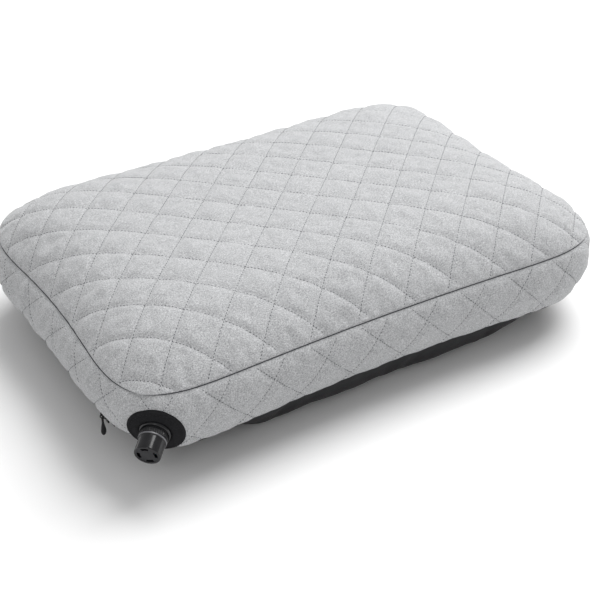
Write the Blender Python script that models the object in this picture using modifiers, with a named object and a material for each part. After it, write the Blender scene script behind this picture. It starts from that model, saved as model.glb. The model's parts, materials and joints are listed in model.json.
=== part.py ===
"""Inflatable camp pillow: a quilted boxed cover over an air bladder, with a twist valve and a zipper.

Metres, +Z up. The origin is on the floor under the middle of the pillow, +X along its long side and
+Y along its short side. The valve sits in the (-X, -Y) corner and the zipper runs along the -X side.
"""
import math

import bmesh
import bpy
from mathutils import Vector

# ---- Plan of the pillow at its two sewn seams ----
HALF_LENGTH = 0.206          # of the square that the top seam's outline is drawn in
HALF_LENGTH_BELOW = 0.194    # of the bottom seam's, which runs straighter for the zipper
HALF_WIDTH = 0.141
PINCH_X = 0.0140             # the middle of a short side is pulled in by this much
PINCH_X_BELOW = 0.0020
PINCH_Y = 0.0085             # and the middle of a long side by this much
CORNER_CUT_X = 0.020         # how far a rounded corner stays inside the square one, along X
CORNER_CUT_Y = 0.017         # and along Y
OFFSET_TO_CUT = 0.293        # share of an outward offset that goes into the corner's rounding

# ---- Heights ----
BOTTOM_SEAM_Z = 0.028
TOP_SEAM_Z = 0.068
TOP_Z = 0.0985
CORNER_DROP = 0.0050         # the bottom seam hangs this much lower in the four corners
SIDE_BULGE = 0.006           # the side band swells this far past its seams
TOP_SHOULDER = (8.0, 5.4)    # powers of the top's fall towards the short and the long sides
BOTTOM_SHOULDER = (11.0, 11.0)
BOTTOM_FLATTENING = 1.06     # above 1 the underside is pressed flat where it lies on the floor
CORNER_LIFT = (0.40, 0.80)   # product of u and v between which the underside's corners lift off

# ---- Layers of the cover and the bladder ----
GAP = 0.0003                 # left between pieces that touch
LAYER_GAP = 0.0011           # between curved layers whose facets don't line up
FACE_CLOTH = 0.0010
BATTING = 0.0030
LINING = 0.0006
BLADDER_FILM = 0.0006
BLADDER_INSET = 0.0095       # from the cover's outer surface to the bladder
BLADDER_FLOOR_INSET = 0.0035                         # from the single cloth of the underside
BLADDER_SIDE_Z = (0.0320, 0.0610)                    # lower and upper weld of the bladder's side
SEAM_ALLOWANCE = 0.0019      # panels stop this far short of the seam line, for their thickness

# ---- Mesh fineness ----
PANEL_CELLS = (20, 14)
INNER_CELLS = (14, 10)
BAND_ROWS = 5
TURNED_STEPS = 24

# ---- Valve ----
VALVE_PLACE = (-0.985, -1.0, 0.405)                  # u, v and rise of its axis on the boxed side
VALVE_AXIS = Vector((-0.672, -0.694, -0.245)).normalized()
PATCH_RADIUS = 0.0188
PATCH_HOLE_RADIUS = 0.0104
COVER_HOLE_RADIUS = 0.0098
BLADDER_HOLE_RADIUS = 0.0081
FLANGE_RADIUS = 0.0150
FLANGE_THICKNESS = 0.0012
COLLAR_RADIUS = 0.0096
COLLAR_BORE_RADIUS = 0.0081
COLLAR_SPAN = (0.0017, 0.0063)
COLLAR_RIBS = 36
COLLAR_GROOVE = 0.0005
CAP_RADIUS = 0.0085
CAP_LIP_RADIUS = 0.0093
CAP_BORE_RADIUS = 0.0075
CAP_FOOT = 0.0066            # height of the cap's open end above the cover
CAP_END = 0.0188             # and of its end face
CAP_END_WALL = 0.0018
THREAD_RADIUS = 0.0070       # of the stem inside the cap
STEM_RADIUS = 0.0078         # of the stem inside the collar
STEM_TOP = 0.0152
STEM_FOOT = -0.0125
TIP_RADIUS = 0.0041          # of the stem's end, which the washer closes
AIR_HOLE_RADIUS = 0.0032     # through that end
AIR_BORE_RADIUS = 0.0055     # through the rest of the stem
O_RING_HEIGHT = 0.0102
O_RING_THICKNESS = 0.0008
O_RING_GROOVE = 0.0008       # depth
WASHER_RADIUS = 0.0045
EASE = 0.0003                # small chamfers of the turned pieces
SLOT_RADIUS = 0.0057
SLOT_LENGTH = 0.0048
SLOT_WIDTH = 0.0020
SLOT_COUNT = 4
SLOT_TURN = math.radians(79.0)

# ---- Zipper ----
ZIP_HALF_LENGTH = 0.093
ZIP_X = -0.1922              # outer face of the two tapes
ZIP_Z = 0.0310
TAPE_WIDTH = 0.0052
TAPE_THICKNESS = 0.0008
COIL_WIDTH = 0.0016
COIL_THICKNESS = 0.0013
COIL_SPLIT = 0.0006          # half of the space between the two coils
TOOTH_PITCH = 0.0036
SLIDER_Y = -0.0860
SLIDER_LENGTH = 0.0090
SLIDER_HALF_WIDTH = 0.0040
SLIDER_PLATES = (0.0010, 0.0008)                     # thickness outside and inside the tapes
SLIDER_NECK = 0.0003         # half thickness of the web that runs between the two coils
BRIDGE_WIRE = 0.00045        # radius
PIVOT_X = ZIP_X - 0.0048     # axis of the pull on the slider's bridge
PULL_LENGTH = 0.0165
PULL_HALF_DEPTH = 0.0011
EYE_RADIUS = 0.0018
EYE_HOLE = 0.0010
PULL_NECK = 0.0008           # half width under the eye
PULL_BELLY = 0.0019          # half width at its widest


def clear_scene():
    for obj in list(bpy.data.objects):
        bpy.data.objects.remove(obj, do_unlink=True)


clear_scene()
PIECES = bpy.data.collections.new("camp_pillow")
CUTTERS = bpy.data.collections.new("cutters")
bpy.context.scene.collection.children.link(PIECES)
bpy.context.scene.collection.children.link(CUTTERS)


# ---- Materials ----
def material(name, color, roughness, metallic=0.0):
    made = bpy.data.materials.new(name)
    made.use_nodes = True
    shader = made.node_tree.nodes["Principled BSDF"]
    shader.inputs["Base Color"].default_value = (*color, 1.0)
    shader.inputs["Roughness"].default_value = roughness
    shader.inputs["Metallic"].default_value = metallic
    return made


BRUSHED_GREY = material("brushed_grey_cloth", (0.55, 0.56, 0.57), 0.95)
BLACK_NYLON = material("black_nylon", (0.018, 0.018, 0.020), 0.60)
WHITE_BATTING = material("white_batting", (0.80, 0.80, 0.78), 1.00)
GREY_LINING = material("grey_lining", (0.35, 0.35, 0.36), 0.80)
BLADDER_TPU = material("coated_bladder_cloth", (0.20, 0.21, 0.23), 0.45)
BLACK_WEBBING = material("black_patch_cloth", (0.020, 0.020, 0.022), 0.90)
BLACK_GLOSS = material("black_gloss_plastic", (0.012, 0.012, 0.014), 0.18)
BLACK_MATTE = material("black_matte_plastic", (0.030, 0.030, 0.032), 0.55)
CLEAR_SILICONE = material("grey_silicone", (0.45, 0.45, 0.44), 0.50)
BLACK_RUBBER = material("black_rubber", (0.020, 0.020, 0.020), 0.80)
BLACK_METAL = material("black_painted_metal", (0.025, 0.025, 0.027), 0.35, 0.6)


# ---- The pillow's soft shape ----
def crowd(t):
    """Spread grid lines so that they lie closer together near the edges."""
    return t * (1.3 - 0.3 * t * t)


def plan_point(u, v, offset, rise):
    """Map the square -1..1 by -1..1 onto the pillow's plan, grown by offset.

    rise is 0 at the bottom seam and 1 at the top seam, whose outlines differ.
    """
    cut_x = CORNER_CUT_X + OFFSET_TO_CUT * offset
    cut_y = CORNER_CUT_Y + OFFSET_TO_CUT * offset
    length = HALF_LENGTH_BELOW + (HALF_LENGTH - HALF_LENGTH_BELOW) * rise + offset
    width = HALF_WIDTH + offset
    power_x = (width - cut_y) / cut_x
    power_y = (length - cut_x) / cut_y
    pinch_x = (PINCH_X_BELOW + (PINCH_X - PINCH_X_BELOW) * rise) * (1.0 - v * v)
    pinch_y = PINCH_Y * (1.0 - u * u)
    return (u * (length - pinch_x - cut_x * abs(v) ** power_x),
            v * (width - pinch_y - cut_y * abs(u) ** power_y))


def shoulder(u, v, powers):
    """1 over the middle of a panel, 0 at its seam."""
    return (1.0 - abs(u) ** powers[0]) * (1.0 - abs(v) ** powers[1])


def corner_drop(u, v):
    """The same along each line from the centre, and greatest on the lines to the corners."""
    nearer, farther = sorted((abs(u), abs(v)))
    return CORNER_DROP * (nearer / farther) ** 8 if farther > 0.0 else 0.0


def top_height(u, v, inset):
    seam = TOP_SEAM_Z + SEAM_ALLOWANCE
    return seam + (TOP_Z - seam) * shoulder(u, v, TOP_SHOULDER) - inset


def bottom_height(u, v, inset):
    seam = BOTTOM_SEAM_Z - SEAM_ALLOWANCE - corner_drop(u, v)
    start, end = CORNER_LIFT
    t = min(1.0, max(0.0, (abs(u * v) - start) / (end - start)))
    pressed = BOTTOM_FLATTENING * shoulder(u, v, BOTTOM_SHOULDER) * (1.0 - t * t * (3.0 - 2.0 * t))
    return max(0.0, seam * (1.0 - pressed)) + inset


def add_piece(name, bm, skin, parent=None, smooth=True):
    mesh = bpy.data.meshes.new(name)
    bm.to_mesh(mesh)
    bm.free()
    mesh.materials.append(skin)
    if smooth:
        mesh.shade_smooth()
        mesh.set_sharp_from_angle(angle=math.radians(40.0))
    piece = bpy.data.objects.new(name, mesh)
    PIECES.objects.link(piece)
    piece.parent = parent
    return piece


def give_thickness(piece, thickness):
    solidify = piece.modifiers.new("thickness", "SOLIDIFY")
    solidify.thickness = thickness
    solidify.offset = -1.0
    solidify.use_even_offset = True


def panel(name, skin, height, inset, reach, thickness, cells=INNER_CELLS, faces_down=False):
    """A grid drawn out to the pillow's plan and lifted to its height, as one cloth panel."""
    bm = bmesh.new()
    bmesh.ops.create_grid(bm, x_segments=cells[0], y_segments=cells[1], size=1.0)
    for vert in bm.verts:
        u, v = reach * crowd(vert.co.x), reach * crowd(vert.co.y)
        x, y = plan_point(u, v, -inset, 0.0 if faces_down else 1.0)
        vert.co = Vector((x, y, height(u, v, inset)))
    if faces_down:
        bmesh.ops.reverse_faces(bm, faces=bm.faces)
    piece = add_piece(name, bm, skin)
    give_thickness(piece, thickness)
    return piece


def side_point(u, v, rise, inset):
    """A point of the boxed side, which swells outwards half way between its seams."""
    x, y = plan_point(u, v, SIDE_BULGE * math.sin(math.pi * rise) - inset, rise)
    level = BOTTOM_SEAM_Z + (TOP_SEAM_Z - BOTTOM_SEAM_Z) * rise
    return Vector((x, y, level - corner_drop(u, v) * (1.0 - rise)))


def square_rim(cells):
    """The (u, v) points round the edge of the square, counter-clockwise."""
    along, across = cells
    steps_u = [crowd(-1.0 + 2.0 * i / along) for i in range(along)]
    steps_v = [crowd(-1.0 + 2.0 * i / across) for i in range(across)]
    rim = [(u, -1.0) for u in steps_u] + [(1.0, v) for v in steps_v]
    rim += [(-u, 1.0) for u in steps_u] + [(-1.0, -v) for v in steps_v]
    return rim


def band(name, skin, inset, low, high, thickness, cells=PANEL_CELLS):
    """The boxed side between two heights, lofted through rings of the plan."""
    bm = bmesh.new()
    rim = square_rim(cells)
    rings = []
    for row in range(BAND_ROWS + 1):
        level = low + (high - low) * row / BAND_ROWS
        rise = (level - BOTTOM_SEAM_Z) / (TOP_SEAM_Z - BOTTOM_SEAM_Z)
        rings.append([bm.verts.new(side_point(u, v, rise, inset)) for u, v in rim])
    for lower, upper in zip(rings, rings[1:]):
        for i in range(len(rim)):
            j = (i + 1) % len(rim)
            bm.faces.new((lower[i], lower[j], upper[j], upper[i]))
    piece = add_piece(name, bm, skin)
    give_thickness(piece, thickness)
    return piece


# ---- Cutters and modifiers ----
def make_cutter(name, bm, parent=None):
    mesh = bpy.data.meshes.new(name)
    bm.to_mesh(mesh)
    bm.free()
    cutter = bpy.data.objects.new(name, mesh)
    CUTTERS.objects.link(cutter)
    cutter.parent = parent
    cutter.hide_render = True
    cutter.display_type = "WIRE"
    return cutter


def rod(radius, low, high, steps=48):
    bm = bmesh.new()
    bmesh.ops.create_cone(bm, cap_ends=True, segments=steps, radius1=radius, radius2=radius, depth=high - low)
    bmesh.ops.translate(bm, verts=bm.verts, vec=(0.0, 0.0, (low + high) / 2.0))
    return bm


def block(size, centre):
    bm = bmesh.new()
    bmesh.ops.create_cube(bm, size=1.0)
    bmesh.ops.scale(bm, verts=bm.verts, vec=size)
    bmesh.ops.translate(bm, verts=bm.verts, vec=centre)
    return bm


def cut(piece, cutter, operation="DIFFERENCE"):
    boolean = piece.modifiers.new(cutter.name, "BOOLEAN")
    boolean.operation = operation
    boolean.object = cutter
    boolean.solver = "EXACT"


def turned(name, profile, skin, parent, closed):
    """A turned piece: its profile runs down the outer side, then back up the inner one."""
    bm = bmesh.new()
    verts = [bm.verts.new((radius, 0.0, height)) for radius, height in profile]
    for first, second in zip(verts, verts[1:]):
        bm.edges.new((first, second))
    if closed:
        bm.edges.new((verts[-1], verts[0]))
    piece = add_piece(name, bm, skin, parent, smooth=False)
    screw = piece.modifiers.new("turned", "SCREW")
    screw.axis = "Z"
    screw.steps = TURNED_STEPS
    screw.render_steps = TURNED_STEPS
    screw.use_merge_vertices = True
    screw.merge_threshold = 0.00001
    screw.use_normal_calculate = False
    return piece


def empty(name, place, rotation=None):
    guide = bpy.data.objects.new(name, None)
    PIECES.objects.link(guide)
    guide.location = place
    guide.empty_display_size = 0.02
    if rotation is not None:
        guide.rotation_mode = "QUATERNION"
        guide.rotation_quaternion = rotation
    return guide


# ---- Quilted cover ----
BATTING_INSET = FACE_CLOTH + LAYER_GAP
LINING_INSET = BATTING_INSET + BATTING + LAYER_GAP
BAND_MARGIN = 0.0030         # the band's inner layers stop this far inside its seams


def build_cover(valve_hole, zipper_window):
    panel("cover_top_panel", BRUSHED_GREY, top_height, 0.0, 1.0, FACE_CLOTH, PANEL_CELLS)
    panel("cover_top_batting", WHITE_BATTING, top_height, BATTING_INSET, 0.96, BATTING)
    panel("cover_top_lining", GREY_LINING, top_height, LINING_INSET, 0.96, LINING)
    layers = [
        band("cover_side_band", BRUSHED_GREY, 0.0, BOTTOM_SEAM_Z, TOP_SEAM_Z, FACE_CLOTH),
        band("cover_side_batting", WHITE_BATTING, BATTING_INSET, BOTTOM_SEAM_Z + BAND_MARGIN,
             TOP_SEAM_Z - BAND_MARGIN, BATTING, INNER_CELLS),
        band("cover_side_lining", GREY_LINING, LINING_INSET, BOTTOM_SEAM_Z + BAND_MARGIN,
             TOP_SEAM_Z - BAND_MARGIN, LINING, INNER_CELLS),
    ]
    for layer in layers:
        cut(layer, valve_hole)
        cut(layer, zipper_window)
    bottom = panel("cover_bottom_panel", BLACK_NYLON, bottom_height, 0.0, 1.0, FACE_CLOTH,
                   PANEL_CELLS, faces_down=True)
    cut(bottom, zipper_window)


# ---- Air bladder: top and bottom sheets welded to a side strip ----
def build_bladder(throat):
    reach = 0.975
    panel("bladder_top_sheet", BLADDER_TPU, top_height, BLADDER_INSET, reach, BLADDER_FILM)
    panel("bladder_bottom_sheet", BLADDER_TPU, bottom_height, BLADDER_FLOOR_INSET, 0.90,
          BLADDER_FILM, faces_down=True)
    side = band("bladder_side_strip", BLADDER_TPU, BLADDER_INSET, *BLADDER_SIDE_Z, BLADDER_FILM, INNER_CELLS)
    cut(side, throat)


# ---- Twist valve ----
def slot_cutter(index, parent):
    """A block bent round the valve's axis, which cuts one of the cap's air slots."""
    bm = block((SLOT_LENGTH, SLOT_WIDTH, 0.006), (0.0, 0.0, CAP_END))
    lengthwise = [e for e in bm.edges if abs(e.verts[0].co.x - e.verts[1].co.x) > SLOT_LENGTH / 2.0]
    bmesh.ops.subdivide_edges(bm, edges=lengthwise, cuts=5, use_grid_fill=True)
    middle = SLOT_TURN + 2.0 * math.pi * index / SLOT_COUNT
    for vert in bm.verts:
        angle = middle + vert.co.x / SLOT_RADIUS
        radius = SLOT_RADIUS + vert.co.y
        vert.co.x, vert.co.y = -radius * math.cos(angle), radius * math.sin(angle)
    return make_cutter(f"slot_cutter_{index}", bm, parent)


def knurled_collar(parent):
    bm = rod(COLLAR_RADIUS, *COLLAR_SPAN, steps=2 * COLLAR_RIBS)
    for vert in bm.verts:
        angle = math.atan2(vert.co.y, vert.co.x) % (2.0 * math.pi)
        if round(angle / (math.pi / COLLAR_RIBS)) % 2:
            vert.co.x *= 1.0 - COLLAR_GROOVE / COLLAR_RADIUS
            vert.co.y *= 1.0 - COLLAR_GROOVE / COLLAR_RADIUS
    collar = add_piece("valve_collar", bm, BLACK_GLOSS, parent, smooth=False)
    cut(collar, make_cutter("collar_bore", rod(COLLAR_BORE_RADIUS, 0.0, 0.02, TURNED_STEPS), parent))


def build_valve(seat, axis_rod, throat):
    patch = band("valve_patch", BLACK_WEBBING, -GAP - FACE_CLOTH, BOTTOM_SEAM_Z, TOP_SEAM_Z, FACE_CLOTH)
    cut(patch, axis_rod, "INTERSECT")
    cut(patch, make_cutter("patch_hole", rod(PATCH_HOLE_RADIUS, -0.02, 0.02), seat))

    flange = band("valve_weld_flange", BLADDER_TPU, BLADDER_INSET - 2.0 * GAP - FLANGE_THICKNESS,
                  *BLADDER_SIDE_Z, FLANGE_THICKNESS, INNER_CELLS)
    cut(flange, make_cutter("flange_rim", rod(FLANGE_RADIUS, -0.03, 0.01), seat), "INTERSECT")
    cut(flange, throat)

    groove = (O_RING_HEIGHT + O_RING_THICKNESS / 2.0 + 0.0001, O_RING_HEIGHT - O_RING_THICKNESS / 2.0 - 0.0001)
    groove_floor = THREAD_RADIUS - O_RING_GROOVE
    shoulder_top = STEM_TOP - 0.0022
    turned("valve_stem", [
        (TIP_RADIUS, STEM_TOP), (TIP_RADIUS, shoulder_top), (THREAD_RADIUS, shoulder_top - 0.0010),
        (THREAD_RADIUS, groove[0]), (groove_floor, groove[0]), (groove_floor, groove[1]),
        (THREAD_RADIUS, groove[1]), (THREAD_RADIUS, CAP_FOOT - 0.0001), (STEM_RADIUS, CAP_FOOT - 0.0005),
        (STEM_RADIUS, STEM_FOOT), (AIR_BORE_RADIUS, STEM_FOOT), (AIR_BORE_RADIUS, shoulder_top - 0.0030),
        (AIR_HOLE_RADIUS, shoulder_top - 0.0015), (AIR_HOLE_RADIUS, STEM_TOP)],
        BLACK_MATTE, seat, closed=True)
    knurled_collar(seat)

    ring_points, ring_radius = 8, O_RING_THICKNESS / 2.0
    ring_centre = groove_floor + ring_radius + GAP - 0.00005
    ring = [(ring_centre + ring_radius * math.cos(-2.0 * math.pi * i / ring_points),
             O_RING_HEIGHT + ring_radius * math.sin(-2.0 * math.pi * i / ring_points))
            for i in range(ring_points)]
    turned("valve_o_ring", ring, BLACK_RUBBER, seat, closed=True)

    under_cap = CAP_END - CAP_END_WALL
    washer_top, washer_foot = under_cap - GAP, STEM_TOP + GAP
    turned("valve_sealing_washer", [
        (0.0, washer_top), (WASHER_RADIUS - EASE, washer_top), (WASHER_RADIUS, washer_top - EASE),
        (WASHER_RADIUS, washer_foot + EASE), (WASHER_RADIUS - EASE, washer_foot), (0.0, washer_foot)],
        CLEAR_SILICONE, seat, closed=False)

    lip = (CAP_FOOT + 0.0012, CAP_FOOT)
    cap = turned("valve_cap", [
        (0.0, CAP_END), (CAP_RADIUS - 0.0010, CAP_END), (CAP_RADIUS - EASE, CAP_END - 0.0004),
        (CAP_RADIUS, CAP_END - 0.0012), (CAP_RADIUS, lip[0] + 0.0004), (CAP_LIP_RADIUS - EASE, lip[0]),
        (CAP_LIP_RADIUS, lip[0] - EASE), (CAP_LIP_RADIUS, lip[1] + EASE), (CAP_LIP_RADIUS - EASE, lip[1]),
        (CAP_BORE_RADIUS, lip[1]), (CAP_BORE_RADIUS, under_cap), (0.0, under_cap)],
        BLACK_GLOSS, seat, closed=False)
    for index in range(SLOT_COUNT):
        cut(cap, slot_cutter(index, seat))


# ---- Zipper ----
def build_zipper():
    middle_x = ZIP_X + TAPE_THICKNESS / 2.0
    for side, name in ((1.0, "upper"), (-1.0, "lower")):
        tape_z = ZIP_Z + side * (COIL_SPLIT + 0.0002 + TAPE_WIDTH / 2.0)
        tape = block((TAPE_THICKNESS, 2.0 * ZIP_HALF_LENGTH, TAPE_WIDTH), (middle_x, 0.0, tape_z))
        add_piece(f"zipper_tape_{name}", tape, BLACK_WEBBING, smooth=False)
        add_coil(f"zipper_coil_{name}", ZIP_Z + side * (COIL_SPLIT + COIL_WIDTH / 2.0))
    stops = ((-ZIP_HALF_LENGTH + 0.0010, "front"), (ZIP_HALF_LENGTH - 0.0010, "back"))
    for y, name in stops:
        stop = block((COIL_THICKNESS, 0.0014, 0.0050), (ZIP_X - GAP - COIL_THICKNESS / 2.0, y, ZIP_Z))
        add_piece(f"zipper_stop_{name}", stop, BLACK_METAL, smooth=False)


def add_coil(name, z):
    """One row of coil: a strip whose outer face rises and falls once for each tooth."""
    half = ZIP_HALF_LENGTH - 0.0022
    teeth = round(2.0 * half / TOOTH_PITCH)
    bm = bmesh.new()
    bmesh.ops.create_grid(bm, x_segments=2 * teeth, y_segments=1, size=1.0)
    outer = ZIP_X - GAP - COIL_THICKNESS
    for vert in bm.verts:
        step = round((vert.co.x + 1.0) * teeth)
        dip = 0.0004 if step % 2 else 0.0
        vert.co = Vector((outer + dip, vert.co.x * half, z + vert.co.y * COIL_WIDTH / 2.0))
    bmesh.ops.reverse_faces(bm, faces=bm.faces)
    base = bmesh.ops.extrude_face_region(bm, geom=list(bm.faces))
    for item in base["geom"]:
        if isinstance(item, bmesh.types.BMVert):
            item.co.x = ZIP_X - GAP
    bmesh.ops.recalc_face_normals(bm, faces=bm.faces)
    add_piece(name, bm, BLACK_MATTE, smooth=False)


def flat_outline(name, loops, half_depth, skin, parent):
    """A flat outline drawn as a 2D curve and given its depth, with the first loop outside."""
    curve = bpy.data.curves.new(name + "_outline", "CURVE")
    curve.dimensions = "2D"
    curve.fill_mode = "BOTH"
    curve.extrude = half_depth
    for points in loops:
        spline = curve.splines.new("POLY")
        spline.points.add(len(points) - 1)
        for point, (x, y) in zip(spline.points, points):
            point.co = (x, y, 0.0, 1.0)
        spline.use_cyclic_u = True
    curve.materials.append(skin)
    piece = bpy.data.objects.new(name, curve)
    PIECES.objects.link(piece)
    piece.parent = parent
    return piece


def build_slider():
    """Two plates joined by a thin neck that passes between the coils, and a wire bridge."""
    seat = empty("slider_seat", (ZIP_X, SLIDER_Y, ZIP_Z))
    coil_top = GAP + COIL_THICKNESS + GAP
    front, back = -coil_top - SLIDER_PLATES[0], TAPE_THICKNESS + GAP + SLIDER_PLATES[1]
    half, neck = SLIDER_HALF_WIDTH, SLIDER_NECK
    plate_in, plate_out = -coil_top, TAPE_THICKNESS + GAP
    shape = [(front, -half), (plate_in, -half), (plate_in, -neck), (plate_out, -neck), (plate_out, -half),
             (back, -half), (back, half), (plate_out, half), (plate_out, neck), (plate_in, neck),
             (plate_in, half), (front, half)]
    slider = flat_outline("zipper_slider", [shape], SLIDER_LENGTH / 2.0, BLACK_METAL, seat)
    slider.rotation_euler = (math.radians(90.0), 0.0, 0.0)

    wire = bpy.data.curves.new("bridge_wire", "CURVE")
    wire.dimensions = "3D"
    wire.bevel_depth = BRIDGE_WIRE
    wire.bevel_resolution = 2
    wire.use_fill_caps = True
    foot_x, top_x = front - GAP, PIVOT_X - ZIP_X
    foot_y, bend = 0.0038, 0.0010
    climb = [(foot_x, foot_y), (top_x + bend, foot_y - 0.0002), (top_x, foot_y - 0.0002 - bend)]
    route = [(x, -y) for x, y in climb] + climb[::-1]
    spline = wire.splines.new("POLY")
    spline.points.add(len(route) - 1)
    for point, (x, y) in zip(spline.points, route):
        point.co = (x, y, 0.0, 1.0)
    wire.materials.append(BLACK_METAL)
    bridge = bpy.data.objects.new("zipper_bridge", wire)
    PIECES.objects.link(bridge)
    bridge.parent = seat


def build_pull():
    """A drop-shaped tab that hangs from the bridge by an eye round the wire."""
    pivot = empty("pull_pivot", (PIVOT_X, SLIDER_Y, ZIP_Z))
    side = [(EYE_RADIUS * math.cos(a), EYE_RADIUS * math.sin(a))
            for a in (math.radians(90.0 - 25.0 * i) for i in range(6))]
    side += [(half, -share * PULL_LENGTH) for half, share in (
        (PULL_NECK, 0.17), (PULL_NECK * 1.1, 0.28), (PULL_BELLY * 0.9, 0.52), (PULL_BELLY, 0.67),
        (PULL_BELLY * 0.85, 0.82), (PULL_BELLY * 0.45, 0.93))]
    outline = side + [(0.0, -0.95 * PULL_LENGTH)] + [(-x, y) for x, y in reversed(side[1:])]
    hole_points = 14
    hole = [(EYE_HOLE * math.cos(2.0 * math.pi * i / hole_points),
             EYE_HOLE * math.sin(2.0 * math.pi * i / hole_points)) for i in range(hole_points)]
    pull = flat_outline("zipper_pull", [outline, hole], PULL_HALF_DEPTH, BLACK_MATTE, pivot)
    pull.rotation_euler = (math.radians(90.0), 0.0, 0.0)


# ---- Assembly ----
def build_pillow():
    valve_point = side_point(*VALVE_PLACE, 0.0)
    print("valve axis from", [round(c, 5) for c in valve_point], "along", [round(c, 5) for c in VALVE_AXIS])
    seat = empty("valve_seat", valve_point, VALVE_AXIS.to_track_quat("Z", "Y"))
    valve_hole = make_cutter("cover_hole", rod(COVER_HOLE_RADIUS, -0.02, 0.02), seat)
    axis_rod = make_cutter("patch_rim", rod(PATCH_RADIUS, -0.02, 0.02), seat)
    throat = make_cutter("bladder_throat", rod(BLADDER_HOLE_RADIUS, -0.03, 0.01), seat)
    window_half = TAPE_WIDTH + COIL_SPLIT + 0.0002 + GAP
    zipper_window = make_cutter("zipper_window", block(
        (0.020, 2.0 * (ZIP_HALF_LENGTH + GAP), 2.0 * window_half), (ZIP_X + 0.002, 0.0, ZIP_Z)))
    build_cover(valve_hole, zipper_window)
    build_bladder(throat)
    build_valve(seat, axis_rod, throat)
    build_zipper()
    build_slider()
    build_pull()


build_pillow()
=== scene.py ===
# %% [markdown]
# # A quilted camp pillow
# The pillow is a boxed cover sewn from three cloths round an air bladder. The top and the side
# are quilted light grey microfibre, and the underside is smooth black nylon. A twist valve sits on
# a black patch in one corner, and a zipper runs along the short side next to it. The frame brings
# in the working model, and every soft or detailed piece is then built around it.

# %% Load the frame
import json
import math

import bmesh
import bpy
import numpy as np
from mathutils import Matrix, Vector
from mathutils.bvhtree import BVHTree
from mathutils.kdtree import KDTree


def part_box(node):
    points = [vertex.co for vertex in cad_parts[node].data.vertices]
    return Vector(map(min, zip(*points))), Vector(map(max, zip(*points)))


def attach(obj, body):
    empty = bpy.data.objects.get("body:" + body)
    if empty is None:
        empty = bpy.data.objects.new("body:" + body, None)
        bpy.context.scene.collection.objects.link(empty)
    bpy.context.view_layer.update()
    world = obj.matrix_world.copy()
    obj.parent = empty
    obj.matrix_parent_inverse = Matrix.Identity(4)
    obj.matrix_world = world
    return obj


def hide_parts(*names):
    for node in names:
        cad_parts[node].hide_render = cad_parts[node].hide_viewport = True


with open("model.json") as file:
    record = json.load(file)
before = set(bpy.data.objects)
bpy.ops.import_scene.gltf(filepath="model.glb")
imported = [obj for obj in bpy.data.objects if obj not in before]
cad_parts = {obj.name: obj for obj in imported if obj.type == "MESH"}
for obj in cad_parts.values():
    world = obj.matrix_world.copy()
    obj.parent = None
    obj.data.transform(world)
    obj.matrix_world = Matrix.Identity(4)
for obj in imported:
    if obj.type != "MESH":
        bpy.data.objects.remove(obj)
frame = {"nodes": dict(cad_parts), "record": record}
scene = bpy.context.scene
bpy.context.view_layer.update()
MM = 0.001

# %% [markdown]
# ## Camera
# A long lens from above the valve's corner keeps the far corner from looking small. The camera is
# placed first, since every choice of detail below depends on what it shows. It is given a place, a
# heading and a dip below the horizon, and the lens follows from the picture's width.

# %% Place the camera
HEADING = math.radians(58.156)       # direction of view over the floor, turned from +X towards +Y
DIP = math.radians(33.42)
SEAM_TO_LENS = 0.493                 # height of the lens above the pillow's upper seam
LENS_PLACE = (-0.4407, -0.7202)      # on the floor plan
LENS, FILM_WIDTH = 78.96, 36.0       # mm

upper_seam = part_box("cover_side_band")[1].z
camera = bpy.data.objects.new("studio_camera", bpy.data.cameras.new("studio_camera"))
camera.location = (*LENS_PLACE, upper_seam + SEAM_TO_LENS)
look = Vector((math.cos(HEADING) * math.cos(DIP), math.sin(HEADING) * math.cos(DIP), -math.sin(DIP)))
camera.rotation_euler = look.to_track_quat("-Z", "Y").to_euler()
camera.data.sensor_width, camera.data.lens = FILM_WIDTH, LENS
scene.collection.objects.link(camera)
scene.camera = camera
print("camera", round((camera.location - Vector((0, 0, upper_seam))).length, 3), "m from the middle")

# %% [markdown]
# ## Plan and heights
# A square sheet is mapped onto the pillow's plan: its sides are pulled in between the corners, as the
# cloth does when the bladder fills, and its corners are rounded. Each corner has its own softness,
# because the valve's patch stiffens one of them and the others round off more. Heights are given from
# the floor, and the panels fall from their middle to the seams over a steep shoulder.

# %% Driving dimensions
TOP_SEAM = upper_seam
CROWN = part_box("cover_top_panel")[1].z
LOWER_SEAM = 28.0 * MM
CORNER_SAG = 6.0 * MM                # the lower seam hangs deeper at the corners
HALF_LENGTH, HALF_LENGTH_BELOW, HALF_WIDTH = 206.0 * MM, 194.0 * MM, 141.0 * MM
PULL_IN_ENDS, PULL_IN_ENDS_BELOW, PULL_IN_SIDES = 14.0 * MM, 2.0 * MM, 8.5 * MM
CORNER_CUT = (20.0 * MM, 17.0 * MM)
OUT_TO_CUT = 0.293                   # share of an outward offset that rounds the corner further
SAG_POWER = 4                        # how soon the sag fades away from the corner
FLOOR_GAP = 0.6 * MM                 # between the underside and the floor
SWELL, SWELL_ZIPPER_END = 6.0 * MM, 9.0 * MM         # of the side between its seams
SHOULDER_TOP, SHOULDER_UNDER = (8.0, 5.4), (11.0, 11.0)
PRESSED = 1.06                       # above 1 the underside lies flat on the floor
CORNER_LIFT = (0.40, 0.80)           # product of u and v between which the underside's corners lift off
SOFTNESS = {"valve": 1.0, "zipper end": 1.25, "front right": 1.2, "back": 1.1}


def corner_softness(u, v):
    near_valve, zipper_end = (1 - u) * (1 - v) / 4, (1 - u) * (1 + v) / 4
    front_right, back = (1 + u) * (1 - v) / 4, (1 + u) * (1 + v) / 4
    return (near_valve * SOFTNESS["valve"] + zipper_end * SOFTNESS["zipper end"]
            + front_right * SOFTNESS["front right"] + back * SOFTNESS["back"])


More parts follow.
